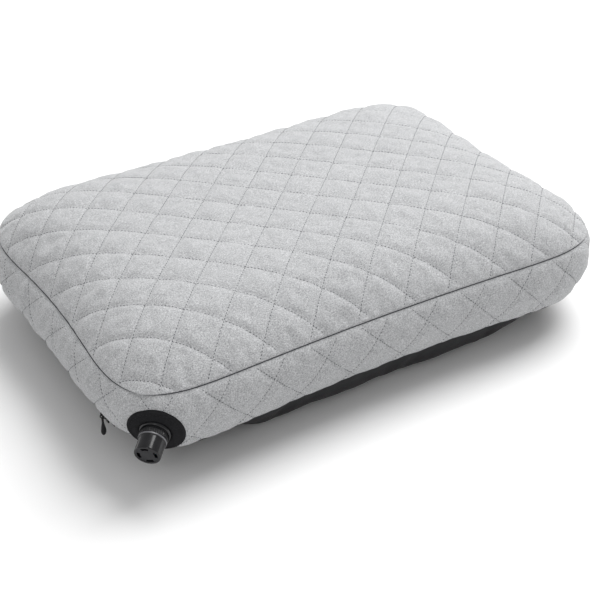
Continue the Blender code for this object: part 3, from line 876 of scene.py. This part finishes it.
def slot_knife(middle, width=2.0 * MM, radius=5.7 * MM, length=4.9 * MM):
    """A curved bar that cuts one slot."""
    half = length / 2 / radius
    outline = []
    for edge, first, last in ((radius + width / 2, -half, half), (radius - width / 2, half, -half)):
        for turned in np.linspace(first, last, 9):
            outline.append((edge * math.cos(middle + turned), edge * math.sin(middle + turned)))
    verts = []
    count = len(outline)
    for height in (CAP_END - 3 * MM, CAP_END + 1 * MM):
        verts += [SEAT @ Vector((x, y, height)) for x, y in outline]
    faces = [tuple(reversed(range(count))), tuple(range(count, 2 * count))]
    faces += [(i, (i + 1) % count, count + (i + 1) % count, count + i) for i in range(count)]
    return mesh_piece("slot_knife", verts, faces, smooth=False)


for k in range(SLOTS):
    knife = slot_knife(math.pi - (SLOT_TURN + k * 2 * math.pi / SLOTS))
    cut = cap.modifiers.new("slot", "BOOLEAN")
    cut.object, cut.solver, cut.operation = knife, "EXACT", "DIFFERENCE"
    bake(cap)
    bpy.data.objects.remove(knife)
cap.data.set_sharp_from_angle(angle=math.radians(38))
print("cap:", len(cap.data.polygons), "faces")

# %% [markdown]
# ## The zipper
# A coil zipper closes the short side next to the valve. Its teeth are turns of a coil sewn to two
# woven tapes, so each tooth is a small bent bar, repeated along the opening. The slider rides on
# the teeth, and a drop-shaped pull hangs from its bridge.

# %% Measure the zipper
tape_low, tape_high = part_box("zipper_tape_lower"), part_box("zipper_tape_upper")
ZIP_X = tape_low[0].x
ZIP_Z = (tape_low[1].z + tape_high[0].z) / 2
ZIP_HALF = tape_low[1].y
pull_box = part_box("zipper_pull")
swing = next(j for j in frame["record"]["behaviour"]["joints"] if j["name"] == "pull_swing")
PIVOT = Vector(swing["pos_m"])
print("zipper", round(2 * ZIP_HALF / MM), "mm long at x", round(ZIP_X / MM, 1), "mm")

# %% Weave the tapes
def tape(name, low, high):
    """A tape with a ribbed edge cord, drawn as one section along the zipper."""
    inner, outer = (low.z, high.z) if low.z > ZIP_Z else (high.z, low.z)
    section = []
    for share in np.linspace(0, 1, 9):
        bulge = 0.12 * MM * math.sin(share * math.pi * 5) ** 2
        section.append((ZIP_X - bulge, inner + (outer - inner) * share))
    section += [(ZIP_X + 0.8 * MM, outer), (ZIP_X + 0.8 * MM, inner)]
    verts, faces = [], []
    steps = 120
    for i in range(steps + 1):
        y = -ZIP_HALF + 2 * ZIP_HALF * i / steps
        verts += [Vector((x, y, z)) for x, z in section]
    n = len(section)
    for i in range(steps):
        for k in range(n):
            m = (k + 1) % n
            faces.append((i * n + k, i * n + m, (i + 1) * n + m, (i + 1) * n + k))
    faces += [tuple(reversed(range(n))), tuple(steps * n + k for k in range(n))]
    piece = mesh_piece(name, verts, faces, smooth=False)
    tidy_normals(piece)
    return piece


lower_tape = tape("lower_zipper_tape", *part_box("zipper_tape_lower"))
upper_tape = tape("upper_zipper_tape", *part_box("zipper_tape_upper"))
print("tapes:", len(lower_tape.data.polygons), "faces each")

# %% Coil the teeth
def coil(name, box, toward):
    """Turns of a coil: each tooth is a bar from the tape to the middle and back."""
    verts, faces, sides = [], [], 6
    pitch, wire = 1.25 * MM, 0.26 * MM
    far, near = (box[1].z, box[0].z) if toward < 0 else (box[0].z, box[1].z)
    front = box[0].x
    count = int((box[1].y - box[0].y) / pitch)
    route = [(front + 1.0 * MM, far), (front + 0.35 * MM, far), (front + 0.25 * MM, (far + near) / 2),
             (front + 0.3 * MM, near), (front + 0.9 * MM, near)]
    for i in range(count):
        y = box[0].y + (i + 0.5) * pitch
        first = len(verts)
        for x, z in route:
            for k in range(sides):
                angle = 2 * math.pi * k / sides
                if (x, z) in (route[0], route[-1]):
                    verts.append(Vector((x, y + wire * math.cos(angle), z + wire * math.sin(angle))))
                else:
                    verts.append(Vector((x + wire * math.sin(angle), y + wire * math.cos(angle), z)))
        for ring in range(len(route) - 1):
            for k in range(sides):
                a, b = first + ring * sides + k, first + ring * sides + (k + 1) % sides
                faces.append((a, b, b + sides, a + sides))
    return mesh_piece(name, verts, faces)


lower_coil = coil("lower_zipper_coil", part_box("zipper_coil_lower"), 1)
upper_coil = coil("upper_zipper_coil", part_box("zipper_coil_upper"), -1)
print("coils:", len(lower_coil.data.vertices), "points a side")


# %% [markdown]
# The slider and its wire bridge keep their working shape and only get rounded edges. The pull is a
# drop drawn as rings of growing and shrinking width, with a ring as its eye.

# %% Cast the slider and shape the pull
def softened(name, node, width, segments=3):
    """A copy of a plain working piece with its edges rounded over."""
    source = frame["nodes"][node]
    piece = bpy.data.objects.new(name, source.data.copy())
    scene.collection.objects.link(piece)
    piece.data.materials.clear()
    bm = bmesh.new()
    bm.from_mesh(piece.data)
    bmesh.ops.remove_doubles(bm, verts=bm.verts, dist=0.01 * MM)
    bmesh.ops.dissolve_limit(bm, angle_limit=math.radians(2), verts=bm.verts, edges=bm.edges)
    bm.to_mesh(piece.data)
    bm.free()
    bevel = piece.modifiers.new("softened", "BEVEL")
    bevel.width, bevel.segments, bevel.limit_method = width, segments, "ANGLE"
    bake(piece)
    piece.data.set_sharp_from_angle(angle=math.radians(45))
    return piece


slider = softened("cast_slider", "zipper_slider", 0.25 * MM)
bridge = softened("slider_bridge_wire", "zipper_bridge", 0.05 * MM, 1)


def drop_pull(name):
    """A drop of moulded plastic, thin at the neck and full near its end; its eye for the bridge is a
    separate ring.
    """
    length = pull_box[1].z - pull_box[0].z - 1.8 * MM
    stations = [(0.0, 0.75), (0.1, 0.8), (0.2, 0.75), (0.32, 0.9), (0.46, 1.25), (0.6, 1.65), (0.72, 1.9),
                (0.83, 1.8), (0.92, 1.35), (0.98, 0.7), (1.0, 0.25)]
    verts, faces, sides = [], [], 20
    for share, half in stations:
        for k in range(sides):
            angle = 2 * math.pi * k / sides
            verts.append(PIVOT + Vector((half * MM * math.cos(angle), 0.62 * half * MM * math.sin(angle),
                                         -1.5 * MM - share * (length - 1.5 * MM))))
    for ring in range(len(stations) - 1):
        for k in range(sides):
            m = (k + 1) % sides
            a, b = ring * sides, (ring + 1) * sides
            faces.append((a + k, b + k, b + m, a + m))
    faces += [tuple(range(sides)), tuple(reversed([(len(stations) - 1) * sides + k for k in range(sides)]))]
    piece = mesh_piece(name, verts, faces)
    tidy_normals(piece)
    piece.data.set_sharp_from_angle(angle=math.radians(60))
    return piece


def eye_ring(name, ring=1.35 * MM, wire=0.38 * MM):
    verts, faces, around, sides = [], [], 28, 10
    for i in range(around):
        a = 2 * math.pi * i / around
        for k in range(sides):
            b = 2 * math.pi * k / sides
            r = ring + wire * math.cos(b)
            verts.append(PIVOT + Vector((r * math.cos(a), 1.6 * wire * math.sin(b), r * math.sin(a))))
    for i in range(around):
        j = (i + 1) % around
        for k in range(sides):
            m = (k + 1) % sides
            faces.append((i * sides + k, i * sides + m, j * sides + m, j * sides + k))
    piece = mesh_piece(name, verts, faces)
    tidy_normals(piece)
    return piece


pull = drop_pull("drop_zipper_pull")
eye = eye_ring("zipper_pull_eye")
print("pull hangs", round((pull_box[1].z - pull_box[0].z) / MM, 1), "mm")

# %% [markdown]
# ## Finishes
# Each finish is a small network on the shader: broad noise for the change of tone from place to
# place, a finer pattern for fibre, weave or moulding grain, and the same pattern as relief. Values
# that are equal all over, such as sheen, are set on the shader itself.

# %% Tools for finishes
def new_finish(name, **plain):
    made = bpy.data.materials.new(name)
    made.use_nodes = True
    shader = made.node_tree.nodes["Principled BSDF"]
    for socket, value in plain.items():
        shader.inputs[socket.replace("_", " ")].default_value = value
    return made


def node_of(finish, kind, **inputs):
    node = finish.node_tree.nodes.new(kind)
    for socket, value in inputs.items():
        node.inputs[socket.replace("_", " ")].default_value = value
    return node


def join(finish, start, end):
    finish.node_tree.links.new(start, end)


def place_of(finish, stretch=(1, 1, 1), turn=0.0):
    """Coordinates in metres on the object, stretched or turned for streaks and weaves."""
    where = node_of(finish, "ShaderNodeTexCoord")
    mapping = node_of(finish, "ShaderNodeMapping", Scale=stretch, Rotation=(0.0, 0.0, turn))
    join(finish, where.outputs["Object"], mapping.inputs["Vector"])
    return mapping.outputs["Vector"]


def grain(finish, scale, detail=3.0, rough=0.6, stretch=(1, 1, 1), turn=0.0):
    noise = node_of(finish, "ShaderNodeTexNoise", Scale=scale, Detail=detail, Roughness=rough)
    join(finish, place_of(finish, stretch, turn), noise.inputs["Vector"])
    return noise.outputs["Fac"]


def threads(finish, pitch, axis="X", waver=0.6):
    """Parallel threads at a pitch in metres."""
    wave = node_of(finish, "ShaderNodeTexWave", Scale=0.314 / pitch, Distortion=waver, Detail=1.0)
    wave.bands_direction = axis
    join(finish, place_of(finish), wave.inputs["Vector"])
    return wave.outputs["Fac"]


def mixed(finish, kind, a, b):
    node = node_of(finish, "ShaderNodeMath")
    node.operation = kind
    for socket, value in zip(node.inputs, (a, b)):
        if isinstance(value, (int, float)):
            socket.default_value = value
        else:
            join(finish, value, socket)
    return node.outputs["Value"]


def tone(finish, factor, *stops):
    """Colours along a pattern: (place, (r, g, b)) pairs."""
    ramp = node_of(finish, "ShaderNodeValToRGB")
    while len(ramp.color_ramp.elements) < len(stops):
        ramp.color_ramp.elements.new(0.5)
    for element, (place, color) in zip(ramp.color_ramp.elements, stops):
        element.position, element.color = place, (*color, 1.0)
    join(finish, factor, ramp.inputs["Fac"])
    return ramp.outputs["Color"]


def paint(finish, color):
    join(finish, color, finish.node_tree.nodes["Principled BSDF"].inputs["Base Color"])


def gloss(finish, factor, low, high):
    spread = node_of(finish, "ShaderNodeMapRange", To_Min=low, To_Max=high)
    join(finish, factor, spread.inputs["Value"])
    join(finish, spread.outputs["Result"], finish.node_tree.nodes["Principled BSDF"].inputs["Roughness"])


def relief(finish, height, depth, strength=1.0):
    bump = node_of(finish, "ShaderNodeBump", Strength=strength, Distance=depth)
    join(finish, height, bump.inputs["Height"])
    join(finish, bump.outputs["Normal"], finish.node_tree.nodes["Principled BSDF"].inputs["Normal"])


# %% [markdown]
# ### Brushed microfibre
# The grey cloth is brushed, so its surface is a short nap. Light catches single fibre tips, which
# gives a fine salt-and-pepper grain, and the nap leans a little from place to place, which gives
# soft clouds of tone. A little sheen stands for the haze that fibre tips make at a low angle.

# %% Brushed microfibre
brushed = new_finish("brushed_microfibre", Sheen_Weight=0.25, Sheen_Roughness=0.5)
clouds = grain(brushed, 26.0, 3.0)
nap = grain(brushed, 260.0, 3.0, stretch=(1.0, 0.6, 1.0), turn=0.6)
tips = grain(brushed, 1250.0, 2.0, 0.85)
mix = mixed(brushed, "ADD", mixed(brushed, "MULTIPLY", clouds, 0.04), mixed(brushed, "MULTIPLY", nap, 0.02))
mix = mixed(brushed, "ADD", mix, mixed(brushed, "MULTIPLY", tips, 0.94))
paint(brushed, tone(brushed, mix, (0.34, (0.23, 0.234, 0.241)), (0.50, (0.40, 0.404, 0.412)),
                    (0.66, (0.59, 0.595, 0.605))))
gloss(brushed, nap, 0.82, 1.0)
relief(brushed, mixed(brushed, "ADD", tips, mixed(brushed, "MULTIPLY", nap, 0.25)), 0.4 * MM, 0.9)
print("brushed cloth:", len(brushed.node_tree.nodes), "nodes")

# %% [markdown]
# ### Black nylon
# The underside is a tight plain weave of smooth yarn. Two sets of fine threads at right angles
# make the relief, and broad noise keeps the black from being even.

# %% Black nylon
nylon = new_finish("woven_black_nylon", Specular_IOR_Level=0.30)
weave = mixed(nylon, "MAXIMUM", threads(nylon, 0.42 * MM, "X"), threads(nylon, 0.42 * MM, "Y"))
paint(nylon, tone(nylon, mixed(nylon, "MULTIPLY", weave, grain(nylon, 60.0)), (0.1, (0.005, 0.005, 0.006)),
                  (0.8, (0.018, 0.018, 0.020))))
gloss(nylon, weave, 0.45, 0.65)
relief(nylon, weave, 0.06 * MM, 0.6)
print("black nylon:", len(nylon.node_tree.nodes), "nodes")

# %% [markdown]
# ### Patch, tape and thread
# The patch and the zipper's tapes are denser and duller than nylon, with a coarser rib. The thread
# is twisted, so its relief is a slanted wave much finer than a stitch.

# %% Patch, tape and thread
patch_cloth = new_finish("dense_black_cloth", Specular_IOR_Level=0.15)
rib = mixed(patch_cloth, "MAXIMUM", threads(patch_cloth, 0.55 * MM, "X", 1.0),
            threads(patch_cloth, 0.55 * MM, "Z", 1.0))
paint(patch_cloth, tone(patch_cloth, mixed(patch_cloth, "MULTIPLY", rib, grain(patch_cloth, 700.0)),
                        (0.1, (0.006, 0.006, 0.007)), (0.7, (0.022, 0.022, 0.024))))
gloss(patch_cloth, rib, 0.7, 0.9)
relief(patch_cloth, rib, 0.10 * MM, 0.8)

thread = new_finish("dark_thread", Specular_IOR_Level=0.25)
twist = threads(thread, 0.30 * MM, "DIAGONAL", 0.5)
paint(thread, tone(thread, mixed(thread, "MULTIPLY", twist, grain(thread, 500.0)),
                   (0.1, (0.022, 0.024, 0.030)), (0.7, (0.075, 0.079, 0.092))))
gloss(thread, twist, 0.55, 0.75)
relief(thread, twist, 0.05 * MM, 0.8)

black_thread = new_finish("black_thread", Specular_IOR_Level=0.2)
twist = threads(black_thread, 0.30 * MM, "DIAGONAL", 0.5)
paint(black_thread, tone(black_thread, twist, (0.1, (0.003, 0.003, 0.003)), (0.9, (0.014, 0.014, 0.015))))
gloss(black_thread, twist, 0.5, 0.7)
relief(black_thread, twist, 0.05 * MM, 0.8)
print("threads:", thread.name, "and", black_thread.name)

# %% [markdown]
# ### Plastic, rubber and metal
# The cap and the collar are polished, with the faintest waviness of a moulded part, while the pull
# and the coil are duller. Black enamel on the slider has small specks, and the washer is soft
# silicone.

# %% Plastic, rubber and metal
polished = new_finish("polished_black_plastic", Specular_IOR_Level=0.42)
paint(polished, tone(polished, grain(polished, 260.0), (0.3, (0.004, 0.004, 0.005)),
                     (0.7, (0.009, 0.009, 0.011))))
gloss(polished, grain(polished, 900.0), 0.10, 0.20)
relief(polished, grain(polished, 160.0, 1.0), 0.02 * MM, 0.4)


def moulded(name, dark, light, low, high, scale=2600.0, depth=0.03 * MM, **plain):
    """A moulded or painted finish with a fine grain."""
    finish = new_finish(name, **plain)
    fine = grain(finish, scale, 2.0)
    broad = grain(finish, 120.0)
    paint(finish, tone(finish, mixed(finish, "MULTIPLY", fine, broad), (0.12, dark), (0.42, light)))
    gloss(finish, fine, low, high)
    relief(finish, fine, depth, 0.6)
    return finish


matte = moulded("matte_black_plastic", (0.006, 0.006, 0.007), (0.016, 0.016, 0.018), 0.42, 0.62,
                Specular_IOR_Level=0.25)
matte_end = moulded("matte_cap_end", (0.016, 0.016, 0.018), (0.036, 0.036, 0.039), 0.45, 0.6,
                    Specular_IOR_Level=0.25)
# Painted highlight: a lighter grey on the cap's lip stands for the thin line of light that the lip catches.
painted_lip_highlight = moulded("painted_highlight_grey_lip", (0.10, 0.10, 0.11), (0.26, 0.26, 0.27), 0.18, 0.32)
rubber = moulded("black_rubber", (0.014, 0.014, 0.014), (0.028, 0.028, 0.028), 0.6, 0.8)
silicone = moulded("soft_silicone", (0.40, 0.40, 0.39), (0.52, 0.52, 0.50), 0.35, 0.5,
                   Subsurface_Weight=0.2)
enamel = moulded("black_enamel", (0.008, 0.008, 0.009), (0.020, 0.020, 0.022), 0.25, 0.42, Metallic=0.4)
bladder = moulded("coated_bladder_cloth", (0.10, 0.105, 0.115), (0.20, 0.21, 0.23), 0.35, 0.5, 1400.0)
print("finishes:", sorted(m.name for m in bpy.data.materials)[:20])

# %% [markdown]
# ## Everything in its place
# Each new piece stands for its plain working piece, takes its finish, and rides on the same body,
# so the cap turns and lifts, the slider travels and the pull swings with the working model.

# %% Dress and mount the pieces
PIECES = (
    (top, brushed, "brushed_cloth", "pillow", ("cover_top_panel", "cover_top_batting", "cover_top_lining")),
    (side, brushed, "brushed_cloth", "pillow",
     ("cover_side_band", "cover_side_batting", "cover_side_lining")),
    (under, nylon, "black_cloth", "pillow", ("cover_bottom_panel",)),
    (top_stitches, thread, "patch_cloth", "pillow", ()),
    (side_stitches, thread, "patch_cloth", "pillow", ()),
    (upper_cord, thread, "patch_cloth", "pillow", ()),
    (lower_cord, black_thread, "patch_cloth", "pillow", ()),
    (patch, patch_cloth, "patch_cloth", "pillow", ("valve_patch",)),
    (patch_stitches, black_thread, "patch_cloth", "pillow", ()),
    (stem, matte, "matte_plastic", "pillow", ("valve_stem",)),
    (collar, polished, "gloss_plastic", "pillow", ("valve_collar",)),
    (cap, polished, "gloss_plastic", "valve_cap", ("valve_cap",)),
    (lower_tape, patch_cloth, "patch_cloth", "pillow", ("zipper_tape_lower",)),
    (upper_tape, patch_cloth, "patch_cloth", "pillow", ("zipper_tape_upper",)),
    (lower_coil, matte, "matte_plastic", "pillow", ("zipper_coil_lower",)),
    (upper_coil, matte, "matte_plastic", "pillow", ("zipper_coil_upper",)),
    (slider, enamel, "black_metal", "zipper_slider", ("zipper_slider",)),
    (bridge, enamel, "black_metal", "zipper_slider", ("zipper_bridge",)),
    (pull, matte, "matte_plastic", "zipper_pull", ("zipper_pull",)),
    (eye, matte, "matte_plastic", "zipper_pull", ()),
)
for piece, finish, slot_name, body, nodes in PIECES:
    piece.data.materials.clear()
    piece.data.materials.append(finish)
    for face in piece.data.polygons:
        face.material_index = 0
    if nodes:
        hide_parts(*nodes)
    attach(piece, body)

# The cap's end face takes the matte finish. Its lip takes the lighter grey of the painted highlight.
cap.data.materials.append(matte_end)
cap.data.materials.append(painted_lip_highlight)
for face in cap.data.polygons:
    radius, height = from_valve(face.center)
    if radius < 7.7 * MM and height > CAP_END - 1.0 * MM:
        face.material_index = 1
    elif radius > LIP_RADIUS - 0.3 * MM and height < CAP_FOOT + 1.2 * MM:
        face.material_index = 2

KEPT = {"bladder_top_sheet": bladder, "bladder_side_strip": bladder, "bladder_bottom_sheet": bladder,
        "valve_weld_flange": bladder, "valve_sealing_washer": silicone, "valve_o_ring": rubber,
        "zipper_stop_front": enamel, "zipper_stop_back": enamel}
for node, finish in KEPT.items():
    mesh = frame["nodes"][node].data
    if not mesh.materials:
        mesh.materials.append(finish)
    for index in range(len(mesh.materials)):
        mesh.materials[index] = finish
print(len(PIECES), "built pieces,", len(KEPT), "working pieces kept")

# %% [markdown]
# ## Studio
# A pale floor, an even white surround and two soft lights: a large one overhead on the far right, so
# that the near side falls into gentle shade, and a narrow one on the left for the valve's gloss.

# %% Floor and lights
floor_mesh = bpy.data.meshes.new("studio_floor")
half = 6.0
floor_mesh.from_pydata([(-half, -half, 0), (half, -half, 0), (half, half, 0), (-half, half, 0)],
                       [], [(0, 1, 2, 3)])
floor = bpy.data.objects.new("studio_floor", floor_mesh)
scene.collection.objects.link(floor)
pale = new_finish("pale_floor", Roughness=0.9, Base_Color=(0.88, 0.88, 0.88, 1.0))
floor_mesh.materials.append(pale)


def soft_light(name, place, size, watts, aim=(0.0, 0.0, 0.05)):
    lamp = bpy.data.lights.new(name, "AREA")
    lamp.shape, lamp.size, lamp.size_y, lamp.energy = "RECTANGLE", size[0], size[1], watts
    holder = bpy.data.objects.new(name, lamp)
    holder.location = place
    holder.rotation_euler = (Vector(aim) - Vector(place)).to_track_quat("-Z", "Y").to_euler()
    scene.collection.objects.link(holder)


soft_light("overhead_softbox", (0.95, 0.45, 1.65), (1.7, 1.7), 52)
soft_light("cap_highlight_strip", (-1.15, -1.0, 0.75), (0.22, 0.9), 2.2)
world = bpy.data.worlds.new("studio")
scene.world = world
world.use_nodes = True
world.node_tree.nodes["Background"].inputs["Color"].default_value = (1.0, 1.0, 1.0, 1.0)
world.node_tree.nodes["Background"].inputs["Strength"].default_value = 0.53
scene.view_settings.view_transform = "Standard"
print("lights:", [lamp.name for lamp in bpy.data.lights])
